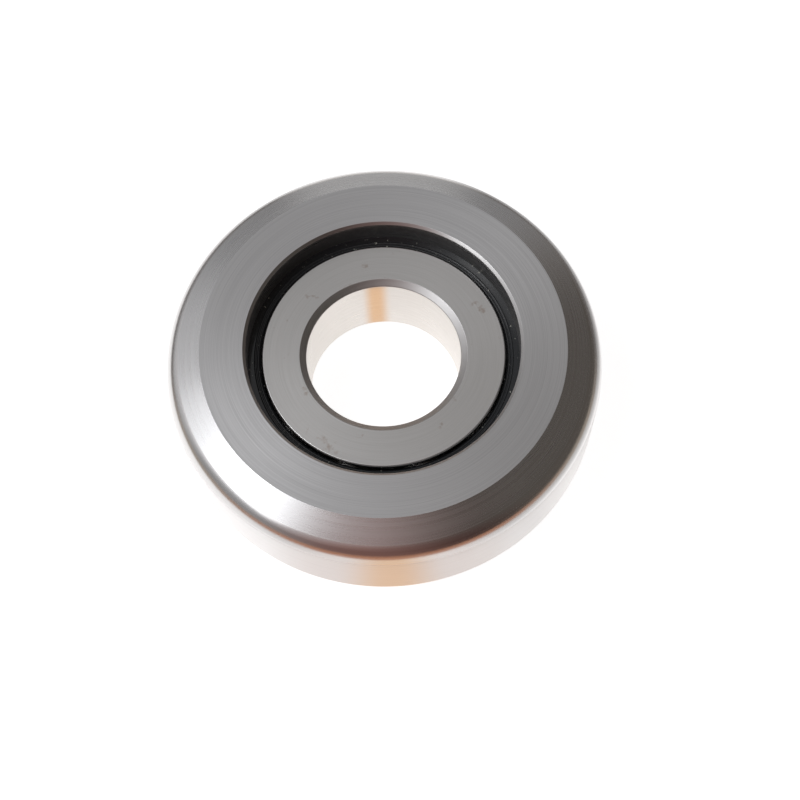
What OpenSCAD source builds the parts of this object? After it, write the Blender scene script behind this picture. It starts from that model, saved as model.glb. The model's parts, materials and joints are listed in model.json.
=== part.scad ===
// Yoke-type track roller: a thick outer ring that rolls on a rail, a narrower inner ring that is
// clamped on a shaft, one row of caged balls between them and a rubber seal on each side.
// The origin is the bearing's centre, and +Z runs along its axis.

/* [Inner ring] */
// Diameter of the mounting bore
bore_d = 40; // [30:0.5:48]
// Width of the inner ring
inner_w = 23; // [19:0.5:28]
// Width of the bevel round the bore's mouths, seen along the axis
bore_bevel_w = 1.7; // [0.5:0.1:3]
// Depth of that bevel
bore_bevel_depth = 1.2; // [0.5:0.1:3]
// Chamfer on the inner ring's outside corners
land_chamfer = 0.3; // [0.2:0.1:1]

/* [Outer ring] */
// Diameter over the rolling tread
outside_d = 113; // [106:0.5:136]
// Width of the outer ring, face to face
outer_w = 34; // [28:0.5:42]
// Width of the bevelled and rounded shoulder, from the flat face's edge out to the tread
shoulder_w = 9.5; // [7:0.5:12]
// Radius of the rounding between bevel and tread
tread_round_r = 7; // [4:0.5:8.5]
// Slope of the bevel from the flat face
bevel_angle = 29.5; // [20:0.5:35]
// Width of the bevel round the opening in each face
opening_bevel_w = 0.7; // [0.3:0.1:1.5]
// Depth of that bevel
opening_bevel_depth = 0.6; // [0.3:0.1:1.5]

/* [Ball row] */
// Pitch diameter of the ball row
pitch_d = 66.7; // [66:0.1:80]
// Radial gap between the inner ring's outside and the outer ring's opening
ring_gap = 3.7; // [3.2:0.1:6]
// Diameter of one ball
ball_d = 15.081; // [12.5:0.001:16.5]
// Radius of the race grooves as a multiple of the ball diameter
race_conformity = 0.52; // [0.51:0.005:0.54]
// Radial running clearance between a ball and each race
race_clear = 0.03; // [0.01:0.01:0.06]
// Number of balls
ball_count = 10; // [7:1:10]

/* [Cage] */
// Thickness of the cage sheet
cage_t = 1; // [0.6:0.1:1.3]
// Clearance between a ball and its cage pocket
pocket_clear = 0.18; // [0.1:0.02:0.3]
// Clearance between the cage and the rings on each side
cage_side_clear = 0.4; // [0.3:0.05:0.8]
// Diameter of a rivet's shank
rivet_d = 1.6; // [1.2:0.1:2]
// Diameter of a rivet's head
rivet_head_d = 2.4; // [2:0.1:2.8]
// Height of a rivet's head
rivet_head_h = 0.6; // [0.4:0.1:0.9]

/* [Seals] */
// Gap between the cage's highest point and the seal's steel core
seal_cage_gap = 0.4; // [0.3:0.1:0.8]
// Thickness of the seal's steel core
seal_core_t = 0.5; // [0.4:0.05:0.8]
// Thickness of the rubber above the core, up to the top of its ridges
seal_rubber_t = 0.75; // [0.6:0.05:1]
// Depth of the grooves between the rubber ridges
seal_ridge_h = 0.35; // [0.2:0.05:0.45]
// Depth of the groove in the outer ring that holds the seal's bead
seal_bead_depth = 1.1; // [0.6:0.1:1.6]
// Gap between the seal's lip and the inner ring
lip_gap = 0.3; // [0.2:0.05:0.5]

/* [Hidden] */
fine = 96;
inner_half = inner_w / 2;
outer_half = outer_w / 2;
bore_r = bore_d / 2;
tread_r = outside_d / 2;
pitch_r = pitch_d / 2;
ball_r = ball_d / 2;
race_r = race_conformity * ball_d;
land_r = pitch_r - ring_gap / 2;
opening_r = pitch_r + ring_gap / 2;
inner_race_x = pitch_r - ball_r - race_clear + race_r;
outer_race_x = pitch_r + ball_r + race_clear - race_r;

face_r = tread_r - shoulder_w;
round_x = tread_r - tread_round_r;
bevel_end_x = round_x + tread_round_r * sin(bevel_angle);
bevel_end_z = outer_half - (bevel_end_x - face_r) * tan(bevel_angle);
round_z = bevel_end_z - tread_round_r * cos(bevel_angle);

pocket_r = ball_r + pocket_clear;
pocket_outer_r = pocket_r + cage_t;
cage_in_r = land_r + cage_side_clear;
cage_out_r = opening_r - cage_side_clear;
ball_step = 360 / ball_count;

seal_z = pocket_outer_r + seal_cage_gap;
seal_core_z = seal_z + seal_core_t;
seal_valley_z = seal_core_z + seal_rubber_t - seal_ridge_h;
seal_top_z = seal_core_z + seal_rubber_t;
seal_lip_r = land_r + lip_gap;
seal_bead_r = opening_r + seal_bead_depth;
seal_w = opening_r - seal_lip_r;
core_in_r = seal_lip_r + seal_w * 0.28;
core_out_r = opening_r - seal_w * 0.06;
ridge_pitch = seal_w * 0.24;
first_ridge_r = seal_lip_r + seal_w * 0.2;
lip_bevel = seal_w * 0.1;

function ball_name(i) = str("ball_", i < 10 ? "0" : "", i);

// The outer ring's section, upper half: flat face, bevel, rounding and half of the tread.
module outer_half_section() {
    difference() {
        polygon([
            [opening_r, 0],
            [opening_r, outer_half - opening_bevel_depth],
            [opening_r + opening_bevel_w, outer_half],
            [face_r, outer_half],
            [tread_r, outer_half - shoulder_w * tan(bevel_angle)],
            [tread_r, 0]
        ]);
        translate([round_x, round_z])
            difference() {
                polygon(2 * tread_round_r * [
                    [0, 0],
                    [sin(bevel_angle), cos(bevel_angle)],
                    [1 + sin(bevel_angle), cos(bevel_angle)],
                    [1, 0]
                ]);
                circle(r = tread_round_r, $fn = fine);
            }
    }
}

// Thick steel ring: tread outside, race and two seal grooves inside.
module outer_ring() {
    color("silver")
        rotate_extrude($fn = fine)
            difference() {
                union() {
                    outer_half_section();
                    mirror([0, 1])
                        outer_half_section();
                }
                translate([outer_race_x, 0])
                    circle(r = race_r, $fn = fine);
                for (side = [-1, 1])
                    translate([opening_r - 1, side > 0 ? seal_z : -seal_valley_z])
                        square([1 + seal_bead_depth, seal_valley_z - seal_z]);
            }
}

// The inner ring's section, the same above and below, with chamfered corners.
module inner_section() {
    corners = [
        [bore_r, inner_half - bore_bevel_depth],
        [bore_r + bore_bevel_w, inner_half],
        [land_r - land_chamfer, inner_half],
        [land_r, inner_half - land_chamfer]
    ];
    polygon(concat(corners, [for (i = [len(corners) - 1 : -1 : 0]) [corners[i].x, -corners[i].y]]));
}

// Narrow ground ring: bore inside, race outside.
module inner_ring() {
    color("silver")
        rotate_extrude($fn = fine)
            difference() {
                inner_section();
                translate([inner_race_x, 0])
                    circle(r = race_r, $fn = fine);
            }
}

// One ball, at its place on the pitch circle.
module ball(i) {
    color("gainsboro")
        rotate([0, 0, (i - 1) * ball_step])
            translate([pitch_r, 0, 0])
                sphere(r = ball_r, $fn = fine);
}

// Places its children between each two balls.
module between_balls() {
    for (i = [1 : ball_count])
        rotate([0, 0, (i - 0.5) * ball_step])
            translate([pitch_r, 0, 0])
                children();
}

// Flat ring with a domed pocket over each ball, as pressed from strip.
module cage_half() {
    difference() {
        intersection() {
            rotate_extrude($fn = fine)
                translate([cage_in_r, 0])
                    square([cage_out_r - cage_in_r, pocket_outer_r + 1]);
            union() {
                cylinder(r = opening_r, h = cage_t, $fn = fine);
                for (i = [1 : ball_count])
                    rotate([0, 0, (i - 1) * ball_step])
                        translate([pitch_r, 0, 0])
                            sphere(r = pocket_outer_r, $fn = fine);
            }
        }
        for (i = [1 : ball_count])
            rotate([0, 0, (i - 1) * ball_step])
                translate([pitch_r, 0, 0])
                    sphere(r = pocket_r, $fn = fine);
        between_balls() {
            translate([0, 0, -1])
                cylinder(d = rivet_d, h = cage_t + 2, $fn = 32);
            translate([0, 0, cage_t])
                cylinder(d = rivet_head_d, h = pocket_outer_r, $fn = 32);
        }
    }
}

module cage_upper_half() {
    color("darkgray")
        cage_half();
}

module cage_lower_half() {
    color("darkgray")
        mirror([0, 0, 1])
            cage_half();
}

// One rivet between each two balls, with a head on each side of the cage.
module cage_rivets() {
    color("dimgray")
        between_balls() {
            cylinder(d = rivet_d, h = 2 * cage_t, center = true, $fn = 32);
            for (side = [0, 1])
                mirror([0, 0, side])
                    translate([0, 0, cage_t])
                        cylinder(d = rivet_head_d, h = rivet_head_h, $fn = 32);
        }
}

// Flat steel disc bonded to the inner side of the seal's rubber.
module seal_core() {
    rotate_extrude($fn = fine)
        translate([core_in_r, seal_z])
            square([core_out_r - core_in_r, seal_core_t]);
}

// Rubber ring: lip beside the inner ring, two ridges, and a bead in the outer ring's groove.
module seal_rubber() {
    ridge_half = ridge_pitch * 0.3;
    rotate_extrude($fn = fine)
        polygon([
            [core_in_r, seal_core_z],
            [core_in_r, seal_z],
            [seal_lip_r + lip_bevel, seal_z],
            [seal_lip_r, seal_z + seal_core_t * 0.4],
            [seal_lip_r, seal_valley_z - seal_ridge_h * 0.5],
            [seal_lip_r + lip_bevel, seal_valley_z],
            [first_ridge_r - ridge_half, seal_valley_z],
            [first_ridge_r, seal_top_z],
            [first_ridge_r + ridge_half, seal_valley_z],
            [first_ridge_r + ridge_pitch - ridge_half, seal_valley_z],
            [first_ridge_r + ridge_pitch, seal_top_z],
            [first_ridge_r + ridge_pitch + ridge_half, seal_valley_z],
            [seal_bead_r, seal_valley_z],
            [seal_bead_r, seal_z],
            [core_out_r, seal_z],
            [core_out_r, seal_core_z]
        ]);
}

module upper_seal_core() {
    color("slategray")
        seal_core();
}

module upper_seal_rubber() {
    color("black")
        seal_rubber();
}

module lower_seal_core() {
    color("slategray")
        mirror([0, 0, 1])
            seal_core();
}

module lower_seal_rubber() {
    color("black")
        mirror([0, 0, 1])
            seal_rubber();
}

outer_ring();
inner_ring();
for (i = [1 : ball_count])
    ball(i);
cage_upper_half();
cage_lower_half();
cage_rivets();
upper_seal_core();
upper_seal_rubber();
lower_seal_core();
lower_seal_rubber();
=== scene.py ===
# Looks for a yoke-type track roller: two steel rings, a caged ball row and two rubber seals, laid flat
# on a white table. The sections follow the bearing outward from its bore.
import json
import math

import bmesh
import bpy
from mathutils import Matrix, Vector


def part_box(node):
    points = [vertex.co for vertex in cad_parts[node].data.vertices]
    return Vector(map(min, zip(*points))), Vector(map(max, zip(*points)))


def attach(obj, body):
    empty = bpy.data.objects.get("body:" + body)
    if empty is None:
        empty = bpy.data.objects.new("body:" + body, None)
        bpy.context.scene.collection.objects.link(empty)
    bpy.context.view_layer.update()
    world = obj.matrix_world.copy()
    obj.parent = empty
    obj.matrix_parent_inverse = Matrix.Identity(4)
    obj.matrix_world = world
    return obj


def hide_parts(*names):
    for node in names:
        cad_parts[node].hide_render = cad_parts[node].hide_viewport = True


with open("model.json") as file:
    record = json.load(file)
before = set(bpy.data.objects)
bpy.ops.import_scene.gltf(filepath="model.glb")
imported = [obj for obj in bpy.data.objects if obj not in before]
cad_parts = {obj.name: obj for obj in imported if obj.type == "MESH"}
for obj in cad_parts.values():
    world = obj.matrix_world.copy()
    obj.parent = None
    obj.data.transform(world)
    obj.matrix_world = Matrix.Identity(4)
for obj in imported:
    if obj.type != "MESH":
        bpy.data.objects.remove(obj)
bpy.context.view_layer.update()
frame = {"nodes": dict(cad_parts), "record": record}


# ---- Inner ring -------------------------------------------------------------------------------------
# A narrow ring of through-hardened bearing steel that is clamped on the shaft. Its sides and outside are
# turned, its bore and race are ground, and the bore's two mouths are bevelled so that the shaft enters.

MM = 0.001
MICRON = 1e-6


def linear(code):
    """An sRGB hex colour as the linear RGBA that the shader takes."""
    parts = [int(code[i : i + 2], 16) / 255 for i in (0, 2, 4)]
    return [p / 12.92 if p <= 0.04045 else ((p + 0.055) / 1.055) ** 2.4 for p in parts] + [1]


def add(tree, kind, sockets=(), **settings):
    """Adds a shader node. sockets maps an input's name or number to a value or to another node's output.

    Map Range has its value at 0, the range that it reads at 1 and 2, and the one that it gives at 3 and 4.
    A colour Mix has its two colours at 6 and 7.
    """
    made = tree.nodes.new("ShaderNode" + kind)
    for name, value in settings.items():
        setattr(made, name, value)
    for socket, value in dict(sockets).items():
        if isinstance(value, bpy.types.NodeSocket):
            tree.links.new(value, made.inputs[socket])
        else:
            made.inputs[socket].default_value = value
    return made


def new_tree(name):
    """A new material and its empty node tree."""
    made = bpy.data.materials.new(name)
    made.use_nodes = True
    made.node_tree.nodes.clear()
    return made, made.node_tree


COLOURS = {"data_type": "RGBA"}
# Nearly all of a noise pattern lies between these two.
NOISE_LOW, NOISE_HIGH = 0.3, 0.7
STREAK_LOW, STREAK_HIGH = 0.32, 0.68
SMEAR_MM = 14.3
OIL_SPOT_MM = 4.76
OIL_FROM, OIL_FULL = 0.655, 0.74


def cut_steel(name, bright, dull, rough, spread, line_mm, cut_um, along, stain=0.0):
    """Bearing steel with the fine rings that a lathe tool or a grinding wheel leaves round the axis.

    spread is how much wider the rings scatter light across themselves than along, from 0 to 1. line_mm is
    the rings' spacing, cut_um their depth, and along how far round the axis one ring runs on before it
    fades, as a share of the radius. stain tints the steel with old preserving oil.
    """
    material, tree = new_tree(name)
    place = add(tree, "TexCoord").outputs["Object"]
    axes = add(tree, "SeparateXYZ", {0: place})
    flat = add(tree, "CombineXYZ", {0: axes.outputs[0], 1: axes.outputs[1]}).outputs[0]
    radius = add(tree, "VectorMath", {0: flat}, operation="LENGTH").outputs["Value"]
    round_axis = add(tree, "VectorMath", {0: flat}, operation="NORMALIZE").outputs[0]
    height = add(tree, "Math", {0: axes.outputs[2]}, operation="ABSOLUTE").outputs[0]
    across = add(tree, "Math", {0: radius, 1: height}, operation="SUBTRACT").outputs[0]
    ring = add(tree, "Math", {0: across, 1: 1 / (line_mm * MM)}, operation="MULTIPLY").outputs[0]
    spin = add(tree, "VectorMath", {0: round_axis, "Scale": 1 / along}, operation="SCALE").outputs[0]
    lift = add(tree, "CombineXYZ", {2: ring}).outputs[0]
    on_ring = add(tree, "VectorMath", {0: spin, 1: lift}).outputs[0]
    streak = {"Vector": on_ring, "Scale": 1, "Detail": 4, "Roughness": 0.65}
    lines = add(tree, "TexNoise", streak).outputs[0]

    streak_shade = add(tree, "MapRange", {0: lines, 1: STREAK_LOW, 2: STREAK_HIGH}).outputs[0]
    steel = add(tree, "Mix", {0: streak_shade, 6: linear(dull), 7: linear(bright)}, **COLOURS).outputs[2]
    spot = {"Vector": place, "Scale": 1 / (OIL_SPOT_MM * MM), "Detail": 4, "Roughness": 0.6}
    spots = add(tree, "TexNoise", spot).outputs[0]
    oil = add(tree, "MapRange", {0: spots, 1: OIL_FROM, 2: OIL_FULL, 3: 0, 4: stain}).outputs[0]
    oiled = add(tree, "Mix", {0: oil, 6: steel, 7: linear("96755a")}, **COLOURS).outputs[2]

    wipe = {"Vector": place, "Scale": 1 / (SMEAR_MM * MM), "Detail": 5, "Roughness": 0.6}
    wiped = add(tree, "TexNoise", wipe).outputs[0]
    smear = add(tree, "MapRange", {0: wiped, 1: NOISE_LOW, 2: NOISE_HIGH, 3: 0.96, 4: 1.05}).outputs[0]
    cut_range = {0: lines, 1: NOISE_LOW, 2: NOISE_HIGH, 3: rough * 0.86, 4: rough * 1.16}
    cut_gloss = add(tree, "MapRange", cut_range).outputs[0]
    gloss = add(tree, "Math", {0: cut_gloss, 1: smear}, operation="MULTIPLY").outputs[0]
    bump = add(tree, "Bump", {"Strength": 1, "Distance": cut_um * MICRON, "Height": lines}).outputs[0]
    tangent = add(tree, "Tangent", direction_type="RADIAL", axis="Z").outputs[0]
    surface = add(
        tree,
        "BsdfPrincipled",
        {
            "Base Color": oiled,
            "Metallic": 1,
            "Roughness": gloss,
            "Anisotropic": spread,
            "Anisotropic Rotation": 0.25,
            "Tangent": tangent,
            "Normal": bump,
        },
    )
    add(tree, "OutputMaterial", {"Surface": surface.outputs[0]})
    return material


# Fine turned steel at its real feed: a satin grey with faint rings and a few brown oil spots.
turned_side = cut_steel(
    "turned_steel_side",
    "dcdad8",
    "d3d1ce",
    rough=0.33,
    spread=0.35,
    line_mm=0.2,
    cut_um=0.8,
    along=0.8,
    stain=0.45,
)
# Ground steel: pale, with streaks round the bore. Real ones are under 0.1 mm apart, so they are drawn
# coarser to show.
ground_bore = cut_steel(
    "ground_steel_bore", "ebe6e1", "e0dad4", rough=0.3, spread=0.9, line_mm=0.5, cut_um=1.5, along=0.5
)
# Polished steel: the smoothest of the finishes, with almost no rings, so a rounded edge shines.
polished_round = cut_steel(
    "polished_steel_rounding", "d9d7d6", "d0cecd", rough=0.2, spread=0.3, line_mm=0.5, cut_um=0.3, along=2
)
# A turned bevel, a little darker and duller than the sides, so its highlight fades softly round the bore.
bore_bevel = cut_steel(
    "turned_steel_bore_bevel", "bcbab9", "b0aead", rough=0.42, spread=0.4, line_mm=0.3, cut_um=0.4, along=2
)

ARC_STEP = math.radians(3)
RACE_STEPS = 20
ON_MIDDLE = 1e-6


def rounded(corners):
    """An outline through (radius, height, corner radius) corners, each with its corner rounded."""
    points = []
    for i, (x, y, r) in enumerate(corners):
        here = Vector((x, y))
        if r == 0:
            points.append(here)
            continue
        back = (Vector(corners[i - 1][:2]) - here).normalized()
        ahead = (Vector(corners[(i + 1) % len(corners)][:2]) - here).normalized()
        half = back.angle(ahead) / 2
        centre = here + (back + ahead).normalized() * r / math.sin(half)
        start = here + back * r / math.tan(half) - centre
        end = here + ahead * r / math.tan(half) - centre
        turn = start.angle_signed(end)
        steps = max(3, math.ceil(abs(turn) / ARC_STEP))
        for k in range(steps + 1):
            points.append(centre + Matrix.Rotation(-turn * k / steps, 2) @ start)
    return points


def mirrored(upper):
    """A whole outline from its upper half, which starts and ends on the middle plane."""
    return upper + [Vector((p.x, -p.y)) for p in reversed(upper) if abs(p.y) > ON_MIDDLE]


def race(centre_x, radius, edge_x, side):
    """The upper half of a race groove, from the groove's bottom on the middle plane to its edge."""
    points = []
    end = math.acos((edge_x - centre_x) / (radius * side))
    for k in range(RACE_STEPS + 1):
        a = end * k / RACE_STEPS
        points.append(Vector((centre_x + side * radius * math.cos(a), radius * math.sin(a))))
    return points


def lathe(name, outline, turns, finishes, finish_at):
    """Turns a closed (radius, height) outline in mm round Z. finish_at gives a face's number in finishes."""
    mesh = bmesh.new()
    rings = []
    for i in range(turns):
        a = 2 * math.pi * i / turns
        places = [(p.x * MM * math.cos(a), p.x * MM * math.sin(a), p.y * MM) for p in outline]
        rings.append([mesh.verts.new(place) for place in places])
    count = len(outline)
    for i, ring in enumerate(rings):
        following = rings[(i + 1) % turns]
        for k in range(count):
            after = (k + 1) % count
            face = mesh.faces.new((ring[k], following[k], following[after], ring[after]))
            face.smooth = True
            middle = (outline[k] + outline[after]) / 2
            face.material_index = finish_at(middle.x, abs(middle.y))
    bmesh.ops.recalc_face_normals(mesh, faces=mesh.faces)
    data = bpy.data.meshes.new(name)
    mesh.to_mesh(data)
    mesh.free()
    for material in finishes:
        data.materials.append(material)
    piece = bpy.data.objects.new(name, data)
    bpy.context.scene.collection.objects.link(piece)
    piece.modifiers.new("flat_faces_stay_flat", "WEIGHTED_NORMAL").keep_sharp = True
    return piece


bore_r = frame["record"]["mounts"][0]["dims"]["r_mm"]
inner_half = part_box("inner_ring")[1].z / MM
land_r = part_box("inner_ring")[1].x / MM
ball_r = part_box("ball_01")[1].z / MM
pitch_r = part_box("ball_01")[1].x / MM - ball_r
race_share = 0.52
race_r = 2 * ball_r * race_share
race_gap = 0.03
bore_bevel_w = 1.7
bore_bevel_depth = 1.2
bore_bevel_round = 0.5
bore_mouth_round = 0.25
land_bevel = 0.3
land_round = 0.3
edge_break = 0.12
finish_edge = 0.02
inner_face_depth = 0.002
fine_turns = 384

INNER_SIDE, INNER_BORE, INNER_ROUND, INNER_BEVEL = range(4)


def inner_finish(r, z):
    """Which finish the inner ring has at a radius and a height."""
    if r < bore_r + finish_edge:
        return INNER_BORE
    if r < bore_r + bore_bevel_w - finish_edge:
        return INNER_BEVEL
    return INNER_SIDE if z > inner_half - inner_face_depth else INNER_ROUND


inner_race = race(pitch_r - ball_r - race_gap + race_r, race_r, land_r, -1)
inner_outline = mirrored(
    rounded(
        [
            (bore_r, 0, 0),
            (bore_r, inner_half - bore_bevel_depth, bore_bevel_round),
            (bore_r + bore_bevel_w, inner_half, bore_mouth_round),
            (land_r - land_bevel, inner_half, land_round),
            (land_r, inner_half - land_bevel, edge_break),
            (land_r, inner_race[-1].y, 0),
        ]
    )
    + list(reversed(inner_race))[1:]
)
inner_finishes = [turned_side, ground_bore, polished_round, bore_bevel]
inner_ring = lathe("inner_ring_turned", inner_outline, fine_turns, inner_finishes, inner_finish)
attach(inner_ring, "inner")
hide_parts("inner_ring")


# ---- Ball row ---------------------------------------------------------------------------------------
# Ten through-hardened steel balls, lapped to a mirror. They show nothing but their surroundings, with a
# thin film of grease that breaks the reflection a little.

FILM_MM = 4.17

# Lapped steel: bright and mirror-like, dulled in clouds where the grease film is thicker.
ball_steel, tree = new_tree("lapped_ball_steel")
place = add(tree, "TexCoord").outputs["Object"]
film = add(tree, "TexNoise", {"Vector": place, "Scale": 1 / (FILM_MM * MM), "Detail": 2}).outputs[0]
film_gloss = add(tree, "MapRange", {0: film, 1: 0.35, 2: 0.7, 3: 0.05, 4: 0.16}).outputs[0]
tint = add(tree, "Mix", {0: film, 6: linear("d8d8d8"), 7: linear("cfcdc8")}, **COLOURS).outputs[2]
surface = add(tree, "BsdfPrincipled", {"Base Color": tint, "Metallic": 1, "Roughness": film_gloss})
add(tree, "OutputMaterial", {"Surface": surface.outputs[0]})
for name, node in frame["nodes"].items():
    if name.startswith("ball_"):
        node.data.materials.clear()
        node.data.materials.append(ball_steel)


# ---- Cage and rivets --------------------------------------------------------------------------------
# Two rings pressed from low-carbon steel strip, domed over each ball and riveted together between the
# balls. The sheet keeps the dull grain of cold rolling, and the rivets' heads are flattened and brighter.

GRAIN_MM = 1.11


def pressed_steel(name, bright, dull, rough):
    """Cold-rolled sheet: short specks of grain and a dull, uneven gloss.

    Real grain is a few hundredths of a millimetre wide. It is drawn coarser so that it shows.
    """
    material, tree = new_tree(name)
    place = add(tree, "TexCoord").outputs["Object"]
    speck = {"Vector": place, "Scale": 1 / (GRAIN_MM * MM), "Detail": 3, "Roughness": 0.7}
    grain = add(tree, "TexNoise", speck).outputs[0]
    grain_shade = add(tree, "MapRange", {0: grain, 1: NOISE_LOW, 2: NOISE_HIGH}).outputs[0]
    sheet = add(tree, "Mix", {0: grain_shade, 6: linear(dull), 7: linear(bright)}, **COLOURS).outputs[2]
    grain_range = {0: grain, 1: NOISE_LOW, 2: NOISE_HIGH, 3: rough * 0.85, 4: rough * 1.2}
    gloss = add(tree, "MapRange", grain_range).outputs[0]
    bump = add(tree, "Bump", {"Strength": 0.5, "Distance": 4 * MICRON, "Height": grain}).outputs[0]
    looks = {"Base Color": sheet, "Metallic": 1, "Roughness": gloss, "Normal": bump}
    surface = add(tree, "BsdfPrincipled", looks)
    add(tree, "OutputMaterial", {"Surface": surface.outputs[0]})
    return material


# Rolled sheet is a dull warm grey, and the rivets' upset heads are paler and shinier.
cage_sheet = pressed_steel("cold_rolled_cage_sheet", "b4b1ab", "8f8c86", rough=0.42)
rivet_steel = pressed_steel("upset_rivet_steel", "c0bdb8", "a19e99", rough=0.33)
for name, material in (
    ("cage_upper_half", cage_sheet),
    ("cage_lower_half", cage_sheet),
    ("cage_rivets", rivet_steel),
):
    frame["nodes"][name].data.materials.clear()
    frame["nodes"][name].data.materials.append(material)


# ---- Outer ring -------------------------------------------------------------------------------------
# The thick rolling ring, of the same steel. Its sides and bevelled shoulders are turned, the rounding and
# the tread are ground and polished, and each side has a chamfered opening with a groove for the seal.

# Turned steel: a satin grey face with rings that can just be seen.
turned_face = cut_steel(
    "turned_steel_face", "dddcdc", "cac9c9", rough=0.33, spread=0.6, line_mm=0.18, cut_um=1.5, along=1.2
)
# Hard-turned steel: smoother, so the lamp burns out on it. Its rings are drawn coarser than real ones.
turned_shoulder = cut_steel(
    "hard_turned_steel_shoulder",
    "d4d3d3",
    "cfcece",
    rough=0.275,
    spread=0.45,
    line_mm=0.9,
    cut_um=0.3,
    along=3.5,
)
# Ground steel: pale, with streaks round the tread that are drawn coarser than real ones.
ground_tread = cut_steel(
    "ground_steel_tread", "e8e6e5", "dedcdb", rough=0.32, spread=0.9, line_mm=0.5, cut_um=0.8, along=0.9
)
# Bored steel with deeper tool marks round the recess's wall. Its colour is painted darker than the face, as
# shade in the recess.
bored_wall_painted_shade = cut_steel(
    "bored_steel_wall_painted_shade", "b5b4b3", "a5a4a3", rough=0.3, spread=0.4, line_mm=0.4, cut_um=2, along=0.6
)
# A turned bevel: a narrow line of light round the opening's mouth.
mouth_bevel = cut_steel(
    "turned_steel_bevel", "bab8b7", "aeacab", rough=0.32, spread=0.4, line_mm=0.3, cut_um=0.4, along=2
)

outer_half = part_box("outer_ring")[1].z / MM
tread_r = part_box("outer_ring")[1].y / MM
seal_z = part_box("upper_seal_rubber")[0].z / MM
seal_top_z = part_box("upper_seal_rubber")[1].z / MM
bead_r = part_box("upper_seal_rubber")[1].x / MM
ridge_h = 0.35
valley_z = seal_top_z - ridge_h
opening_r = 35.2
opening_bevel_w = 0.7
opening_bevel_depth = 0.6
shoulder_w = 9.5
face_r = tread_r - shoulder_w
bevel_angle = math.radians(29.5)
shoulder_drop = shoulder_w * math.tan(bevel_angle)
tread_round_r = 7
tread_blend = 0.14
shoulder_starts = math.radians(60)
outer_face_depth = 0.01
inside_reach = 6
tread_turns = 512

outer_race = race(pitch_r + ball_r + race_gap - race_r, race_r, opening_r, 1)
outer_outline = mirrored(
    outer_race
    + rounded(
        [
            (opening_r, seal_z, 0),
            (bead_r, seal_z, 0),
            (bead_r, valley_z, 0),
            (opening_r, valley_z, 0),
            (opening_r, outer_half - opening_bevel_depth, edge_break),
            (opening_r + opening_bevel_w, outer_half, edge_break),
            (face_r, outer_half, edge_break),
            (tread_r, outer_half - shoulder_drop, tread_round_r),
            (tread_r, 0, 0),
        ]
    )
)

OUTER_FACE, OUTER_SHOULDER, OUTER_TREAD, OUTER_WALL, OUTER_ROUND, OUTER_BEVEL = range(6)


def outer_finish(r, z):
    """Which finish the outer ring has at a radius and a height."""
    # The recess's wall, out to beside the seal, takes the bored steel with its painted shade.
    if r < opening_r + finish_edge or (z < seal_top_z and r < bead_r + inside_reach):
        return OUTER_WALL
    if z > outer_half - outer_face_depth:
        return OUTER_FACE
    if r > tread_r - tread_blend:
        return OUTER_TREAD
    if r < opening_r + opening_bevel_w:
        return OUTER_BEVEL
    shoulder_r = tread_r - tread_round_r * (1 - math.cos(shoulder_starts))
    return OUTER_SHOULDER if r < shoulder_r else OUTER_ROUND


outer_finishes = [turned_face, turned_shoulder, ground_tread, bored_wall_painted_shade, polished_round, mouth_bevel]
outer_ring = lathe("outer_ring_turned", outer_outline, tread_turns, outer_finishes, outer_finish)
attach(outer_ring, "outer")
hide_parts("outer_ring")


# ---- Seals ------------------------------------------------------------------------------------------
# On each side a ring of black nitrile rubber, moulded on a flat steel disc. Its bead snaps into the outer
# ring's groove, and two low ridges and a lip keep the grease in beside the inner ring.

SKIN_MM = 0.714
DUST_MM = 1.25
DUST_FROM, DUST_FULL = 0.655, 0.7

# Moulded rubber: nearly black. A film of grease draws thin bright lines on the ridges, and pale flecks of
# dust stick to it, drawn coarser than real ones.
nitrile, tree = new_tree("moulded_nitrile_rubber")
place = add(tree, "TexCoord").outputs["Object"]
skin = add(tree, "TexNoise", {"Vector": place, "Scale": 1 / (SKIN_MM * MM), "Detail": 2}).outputs[0]
fleck = {"Vector": place, "Scale": 1 / (DUST_MM * MM), "Detail": 3, "Roughness": 0.7}
dust = add(tree, "TexNoise", fleck).outputs[0]
dusty = add(tree, "MapRange", {0: dust, 1: DUST_FROM, 2: DUST_FULL, 3: 0, 4: 0.8}).outputs[0]
rubber_colour = add(tree, "Mix", {0: dusty, 6: linear("1f2124"), 7: linear("c4c4b8")}, **COLOURS).outputs[2]
rubber_gloss = add(tree, "MapRange", {0: dust, 1: NOISE_LOW, 2: NOISE_HIGH, 3: 0.1, 4: 0.22}).outputs[0]
bump = add(tree, "Bump", {"Strength": 0.6, "Distance": 10 * MICRON, "Height": skin}).outputs[0]
surface = add(
    tree,
    "BsdfPrincipled",
    {
        "Base Color": rubber_colour,
        "Roughness": rubber_gloss,
        "IOR": 1.5,
        "Specular IOR Level": 0.3,
        "Coat Weight": 0.6,
        "Coat Roughness": 0.06,
        "Normal": bump,
    },
)
add(tree, "OutputMaterial", {"Surface": surface.outputs[0]})
# Phosphated steel: a dull dark grey. The rubber hides it while the seal is in place.
core_steel = pressed_steel("phosphated_core_steel", "7d7b76", "65635f", rough=0.5)

core_t = (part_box("upper_seal_core")[1].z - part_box("upper_seal_core")[0].z) / MM
core_z = seal_z + core_t
lip_gap = 0.3
lip_r = land_r + lip_gap
seal_w = opening_r - lip_r
core_in_r = lip_r + seal_w * 0.28
core_out_r = opening_r - seal_w * 0.06
ridge_pitch = seal_w * 0.24
ridge_half = ridge_pitch * 0.4
ridge_round = 0.32
first_ridge_r = lip_r + seal_w * 0.2
lip_bevel = seal_w * 0.1
lip_round = 0.1
fold_round = 0.05


def ridge(r):
    """One low rubber ridge round the seal, as three corners."""
    foot_round = 0.1
    return [
        (r - ridge_half, valley_z, foot_round),
        (r, seal_top_z, ridge_round),
        (r + ridge_half, valley_z, foot_round),
    ]


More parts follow.
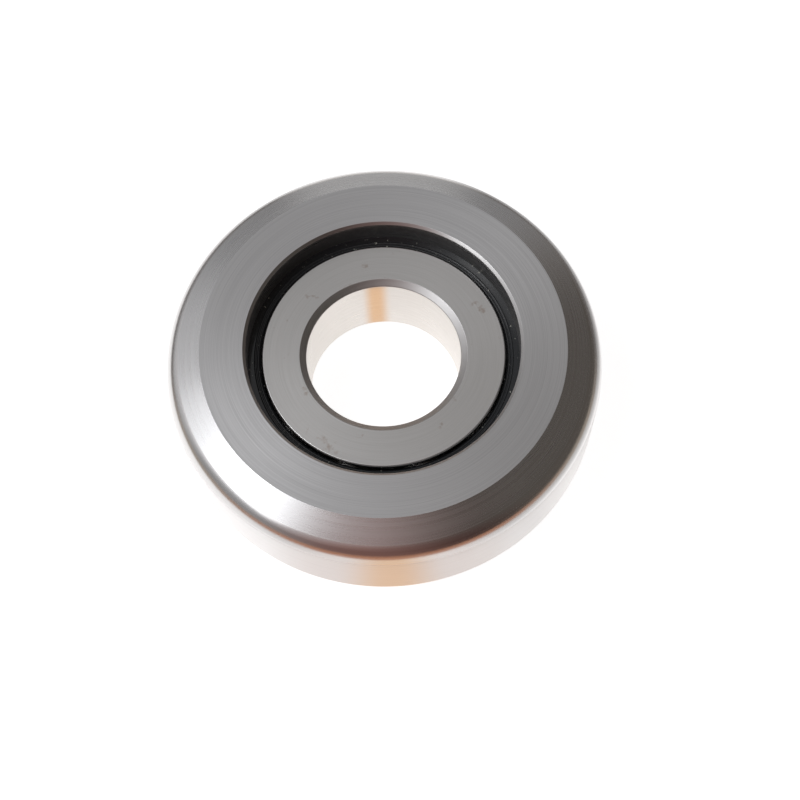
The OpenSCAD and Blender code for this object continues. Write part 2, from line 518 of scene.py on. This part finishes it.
rubber_outline = rounded(
    [
        (core_in_r, core_z, 0),
        (core_in_r, seal_z, 0),
        (lip_r + lip_bevel, seal_z, fold_round),
        (lip_r, seal_z + core_t * 0.4, lip_round),
        (lip_r, valley_z - ridge_h / 2, lip_round),
        (lip_r + lip_bevel, valley_z, 0),
        *ridge(first_ridge_r),
        *ridge(first_ridge_r + ridge_pitch),
        (bead_r, valley_z, fold_round),
        (bead_r, seal_z, 0),
        (core_out_r, seal_z, 0),
        (core_out_r, core_z, 0),
    ]
)
for side, sign in (("upper", 1), ("lower", -1)):
    outline = [Vector((p.x, sign * p.y)) for p in rubber_outline]
    rubber = lathe(side + "_seal_moulded", outline, fine_turns, [nitrile], lambda r, z: 0)
    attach(rubber, "outer")
    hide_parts(side + "_seal_rubber")
    core = frame["nodes"][side + "_seal_core"]
    core.data.materials.clear()
    core.data.materials.append(core_steel)


# ---- Table ------------------------------------------------------------------------------------------
# A round table top of white laminate, which the roller lies on. The eye sees it plain white. In the steel it
# shows
# a glow of painted light and shade: brightest around the roller, falling off outward, and painted dark in the
# roller's own shade.

SMOOTH = {"interpolation_type": "SMOOTHSTEP"}
floor_z = -outer_half * MM
table_r = 1.4
coarse_turns = 96
lit_r, dim_r = 0.07, 0.11
shade_from_r, shade_to_r = 0.0535, 0.0605
bore_light_r, bore_shade_r = 0.03, 0.036
ring_shade = 0.25
lit_level, eye_level = 0.95, 0.86


def direction(azimuth, elevation):
    """A unit vector; azimuth runs from +X towards +Y, both in degrees."""
    a, e = math.radians(azimuth), math.radians(elevation)
    return Vector((math.cos(a) * math.cos(e), math.sin(a) * math.cos(e), math.sin(e)))


def towards(tree, way, azimuth, elevation, cosines, levels, **settings):
    """A patch in one direction. cosines say where it starts and is full, levels what is beside and in it."""
    facing = add(tree, "VectorMath", {0: way, 1: direction(azimuth, elevation)}, operation="DOT_PRODUCT")
    ramp = {0: facing.outputs["Value"], 1: cosines[0], 2: cosines[1], 3: levels[0], 4: levels[1]}
    return add(tree, "MapRange", ramp, **settings).outputs[0]


# White laminate: matt and pale where it lights other things, and lit up where it is looked at. The glow that
# the steel sees is painted light and shade.
table_white, tree = new_tree("white_table_laminate")
ground = add(tree, "TexCoord").outputs["Object"]
from_middle = add(tree, "VectorMath", {0: ground}, operation="LENGTH").outputs["Value"]
way = add(tree, "VectorMath", {0: ground}, operation="NORMALIZE").outputs[0]
# Painted light: the glow that the steel sees is brighter behind the roller and on the lamp's side, darkest to
# the far right, and a little brighter near the roller.
behind = towards(tree, way, 90, 0, (0.9, 0.985), (0, 1), **SMOOTH)
lamp_side = towards(tree, way, 180, 0, (0.5, 0.95), (0, 1))
lit_way = add(tree, "Math", {0: behind, 1: lamp_side}, operation="MAXIMUM").outputs[0]
darkest = towards(tree, way, 45, 0, (0.6, 0.93), (0.5, 0.22), **SMOOTH)
outer_level = add(tree, "MapRange", {0: lit_way, 1: 0, 2: 1, 3: darkest, 4: lit_level}).outputs[0]
inner_level = towards(tree, way, 340, 0, (0.86, 0.985), (1, 1.22), **SMOOTH)
fall_off = {0: from_middle, 1: lit_r, 2: dim_r, 3: inner_level, 4: outer_level}
painted_table_light = add(tree, "MapRange", fall_off, **SMOOTH).outputs[0]
# Painted shade: the glow that the steel sees is dimmed beside and under the ring, but not under the bore.
ring_edge = {0: from_middle, 1: shade_from_r, 2: shade_to_r, 3: ring_shade, 4: 1}
painted_shade_beside_ring = add(tree, "MapRange", ring_edge, **SMOOTH).outputs[0]
under_bore = add(tree, "MapRange", {0: from_middle, 1: bore_light_r, 2: bore_shade_r, 3: 1, 4: 0}).outputs[0]
open_table = add(tree, "Math", {0: painted_shade_beside_ring, 1: under_bore}, operation="MAXIMUM").outputs[0]
reflected = add(tree, "Math", {0: painted_table_light, 1: open_table}, operation="MULTIPLY").outputs[0]

path = add(tree, "LightPath").outputs
level = add(tree, "MapRange", {0: path["Is Camera Ray"], 1: 0, 2: 1, 3: reflected, 4: eye_level}).outputs[0]
glow = add(tree, "Emission", {"Color": linear("ffffff"), "Strength": level}).outputs[0]
pale = add(tree, "BsdfDiffuse", {"Color": linear("c0c0c0")}).outputs[0]
matt = add(tree, "BsdfDiffuse", {"Color": linear("e6e6e6")}).outputs[0]
lit = add(tree, "AddShader", {0: pale, 1: glow}).outputs[0]
straight = add(tree, "Math", {0: path["Is Camera Ray"], 1: path["Is Glossy Ray"]}, operation="MAXIMUM")
through = {0: straight.outputs[0], 1: path["Is Transmission Ray"]}
seen = add(tree, "Math", through, operation="MAXIMUM").outputs[0]
laminate = add(tree, "MixShader", {0: seen, 1: matt, 2: lit}).outputs[0]
add(tree, "OutputMaterial", {"Surface": laminate})

mesh = bmesh.new()
bmesh.ops.create_circle(mesh, cap_ends=True, segments=coarse_turns, radius=table_r)
bmesh.ops.translate(mesh, verts=mesh.verts, vec=(0, 0, floor_z))
data = bpy.data.meshes.new("table")
mesh.to_mesh(data)
mesh.free()
data.materials.append(table_white)
table = bpy.data.objects.new("table", data)
bpy.context.scene.collection.objects.link(table)


# ---- Studio cards -----------------------------------------------------------------------------------
# Glowing cards that the steel reflects but the eye never sees, which paint reflections into it. A low grey
# ring stands round the table, an orange sheet lies in front of the roller, and a strip of it stands inside
# the bore.


def reflected_only(name, mesh, material):
    """A glowing studio card, a painted reflection, that shows in the steel but not to the eye, and neither
    lights nor shades the table.
    """
    data = bpy.data.meshes.new(name)
    mesh.to_mesh(data)
    mesh.free()
    data.materials.append(material)
    made = bpy.data.objects.new(name, data)
    made.visible_camera = made.visible_diffuse = made.visible_shadow = False
    bpy.context.scene.collection.objects.link(made)


flag_r = 0.153
flag_top = 0.012

# A glowing grey card that paints a reflection: a dark band in the rounded shoulder, darker behind, brown in
# front, with a pale gap.
flag_reflection_glow, tree = new_tree("grey_flag_painted_reflection")
depth = add(tree, "SeparateXYZ", {0: add(tree, "TexCoord").outputs["Object"]}).outputs[1]
far_side = add(tree, "MapRange", {0: depth, 1: -0.02, 2: 0.05, 3: 0, 4: 1}, **SMOOTH).outputs[0]
gap = add(tree, "MapRange", {0: depth, 1: flag_r * 0.9, 2: flag_r * 0.985, 3: 0, 4: 1}, **SMOOTH).outputs[0]
near_side = add(tree, "MapRange", {0: depth, 1: -0.04, 2: -flag_r, 3: 0, 4: 1}, **SMOOTH).outputs[0]
paper = linear("aca195")
for share, shade in ((far_side, "787472"), (gap, "dcdad8"), (near_side, "c48a6c")):
    paper = add(tree, "Mix", {0: share, 6: paper, 7: linear(shade)}, **COLOURS).outputs[2]
add(tree, "OutputMaterial", {"Surface": add(tree, "Emission", {"Color": paper}).outputs[0]})
mesh = bmesh.new()
bmesh.ops.create_cone(mesh, segments=coarse_turns, radius1=flag_r, radius2=flag_r, depth=flag_top - floor_z)
bmesh.ops.translate(mesh, verts=mesh.verts, vec=(0, 0, (flag_top + floor_z) / 2))
reflected_only("grey_flag_ring", mesh, flag_reflection_glow)

sheet_lift = 0.0005
sheet_middle = 0.0002
wedge_tip = 0.024
sheet_corners = [(-0.12, -0.15), (0.12, -0.15), (0.05, -0.05), (-0.05, -0.05)]

# A glowing orange card that paints a warm reflection: a wedge in the tread that fades sideways into clear
# film.
warm_reflection_card, tree = new_tree("orange_reflection_card")
axes = add(tree, "SeparateXYZ", {0: add(tree, "TexCoord").outputs["Object"]}).outputs
shifted = add(tree, "Math", {0: axes[0], 1: sheet_middle}, operation="SUBTRACT").outputs[0]
sideways = add(tree, "Math", {0: shifted}, operation="ABSOLUTE").outputs[0]
reach = add(tree, "Math", {0: wedge_tip, 1: axes[1]}, operation="SUBTRACT").outputs[0]
off_middle = add(tree, "Math", {0: sideways, 1: reach}, operation="DIVIDE").outputs[0]
deep = add(tree, "MapRange", {0: off_middle, 1: 0.02, 2: 0.22, 3: 1, 4: 0}, **SMOOTH).outputs[0]
skirt = add(tree, "MapRange", {0: off_middle, 1: 0.2, 2: 0.65, 3: 1, 4: 0}, **SMOOTH).outputs[0]
orange = add(tree, "Mix", {0: deep, 6: linear("fff8f5"), 7: linear("ffdcbc")}, **COLOURS).outputs[2]
warm = add(tree, "Emission", {"Color": orange, "Strength": 1.1}).outputs[0]
clear = add(tree, "BsdfTransparent").outputs[0]
film = add(tree, "MixShader", {0: skirt, 1: clear, 2: warm}).outputs[0]
add(tree, "OutputMaterial", {"Surface": film})
mesh = bmesh.new()
mesh.faces.new([mesh.verts.new((x, y, floor_z + sheet_lift)) for x, y in sheet_corners])
reflected_only("orange_reflection_sheet", mesh, warm_reflection_card)

strip_r = 0.0185
strip_from, strip_to = 78, 108
strip_steps = 12
strip_bottom, strip_top = floor_z + 0.001, 0.009
strip_middle = -0.0014

# The same painted warm reflection, deeper and with sharper edges: one upright band on the bore's far wall.
bore_reflection_card, tree = new_tree("orange_reflection_strip")
axes = add(tree, "SeparateXYZ", {0: add(tree, "TexCoord").outputs["Object"]}).outputs
shifted = add(tree, "Math", {0: axes[0], 1: strip_middle}, operation="SUBTRACT").outputs[0]
sideways = add(tree, "Math", {0: shifted}, operation="ABSOLUTE").outputs[0]
band = add(tree, "MapRange", {0: sideways, 1: 0.0006, 2: 0.0036, 3: 1, 4: 0}, **SMOOTH).outputs[0]
one_sided = add(tree, "NewGeometry").outputs["Backfacing"]
cover = add(tree, "Math", {0: band, 1: one_sided}, operation="MULTIPLY").outputs[0]
warm = add(tree, "Emission", {"Color": linear("ffd9b4"), "Strength": 1.03}).outputs[0]
clear = add(tree, "BsdfTransparent").outputs[0]
film = add(tree, "MixShader", {0: cover, 1: clear, 2: warm}).outputs[0]
add(tree, "OutputMaterial", {"Surface": film})
mesh = bmesh.new()
uprights = []
for step in range(strip_steps + 1):
    foot = direction(strip_from + (strip_to - strip_from) * step / strip_steps, 0) * strip_r
    uprights.append([mesh.verts.new((foot.x, foot.y, z)) for z in (strip_bottom, strip_top)])
for one, two in zip(uprights, uprights[1:]):
    mesh.faces.new([one[0], one[1], two[1], two[0]])
reflected_only("orange_reflection_strip", mesh, bore_reflection_card)


# ---- Room and lamps ---------------------------------------------------------------------------------
# A dim room whose walls show in everything that faces up, with one soft lamp on the left. The lamp is two
# panels, a wide one and a small hot one in its middle. The eye sees white in place of the room.

room_low, room_high = 0.45, 0.48
ceiling = 0.8

world = bpy.data.worlds.new("dim_room")
bpy.context.scene.world = world
world.use_nodes = True
tree = world.node_tree
tree.nodes.clear()
look = add(tree, "TexCoord").outputs["Generated"]
height = add(tree, "SeparateXYZ", {0: look}).outputs[2]
room = add(tree, "MapRange", {0: height, 1: 0, 2: ceiling, 3: room_low, 4: room_high}, **SMOOTH).outputs[0]
dark_wall = (tree, look, 350, 14, (0.15, 0.75))
for patch in (
    towards(*dark_wall, (1, 0.31), **SMOOTH),
    towards(tree, look, 205, 62, (0.62, 0.9), (0.75, 1.2), **SMOOTH),
    towards(tree, look, 158, 27, (0.78, 0.98), (1, 1.8), **SMOOTH),
):
    room = add(tree, "Math", {0: room, 1: patch}, operation="MULTIPLY").outputs[0]
walls = linear("fdfdff")
for patch, paint in (
    (towards(*dark_wall, (0, 1), **SMOOTH), "fff2e6"),
    (towards(tree, look, 272, 15, (0.55, 0.98), (0, 1), **SMOOTH), "d09c92"),
):
    walls = add(tree, "Mix", {0: patch, 6: walls, 7: linear(paint)}, **COLOURS).outputs[2]
dim = add(tree, "Background", {"Color": walls, "Strength": room}).outputs[0]
white = add(tree, "Background", {"Color": linear("ffffff"), "Strength": 1}).outputs[0]
eye = add(tree, "LightPath").outputs["Is Camera Ray"]
add(tree, "OutputWorld", {"Surface": add(tree, "MixShader", {0: eye, 1: dim, 2: white}).outputs[0]})


def soft_lamp(name, azimuth, elevation, distance, size, radiance, colour):
    """A soft rectangular lamp that faces the roller. radiance is how bright its face is, where 1 is white."""
    lamp = bpy.data.lights.new(name, "AREA")
    lamp.shape = "RECTANGLE"
    lamp.size, lamp.size_y = size
    lamp.energy = radiance * math.pi * size[0] * size[1]
    lamp.color = linear(colour)[:3]
    made = bpy.data.objects.new(name, lamp)
    made.location = direction(azimuth, elevation) * distance
    made.rotation_euler = direction(azimuth, elevation).to_track_quat("Z", "Y").to_euler()
    bpy.context.scene.collection.objects.link(made)


lamp_white = "fafcff"
wide_panel = (0.72, 0.5)
hot_panel = (0.26, 0.16)
soft_lamp("soft_lamp_left", 192, 50, 0.75, wide_panel, radiance=1.2, colour=lamp_white)
soft_lamp("lamp_hot_middle", 197, 46, 0.74, hot_panel, radiance=4.5, colour=lamp_white)


# ---- Camera -----------------------------------------------------------------------------------------
# It looks down on the roller from the front, steeply enough to see the far wall of the bore and the near
# part of the tread, and is rolled a little to one side.

view_distance = 0.3846
view_elevation = 66.108
view_roll = math.radians(-2.077)
view_across = 0.00432
view_down = 0.01439
lens_mm = 67.93
near_clip = 0.01

top = Vector((0, 0, outer_half * MM))
away = direction(-90, view_elevation)
right = Vector((1, 0, 0))
up = away.cross(right)
across = right * math.cos(view_roll) + up * math.sin(view_roll)
upward = up * math.cos(view_roll) - right * math.sin(view_roll)
lens = bpy.data.cameras.new("camera")
lens.lens = lens_mm
lens.clip_start = near_clip
camera = bpy.data.objects.new("camera", lens)
pose = Matrix((across, upward, away)).transposed().to_4x4()
pose.translation = top + away * view_distance + across * view_across - upward * view_down
camera.matrix_world = pose
bpy.context.scene.collection.objects.link(camera)
bpy.context.scene.camera = camera
bpy.context.scene.view_settings.view_transform = "Standard"
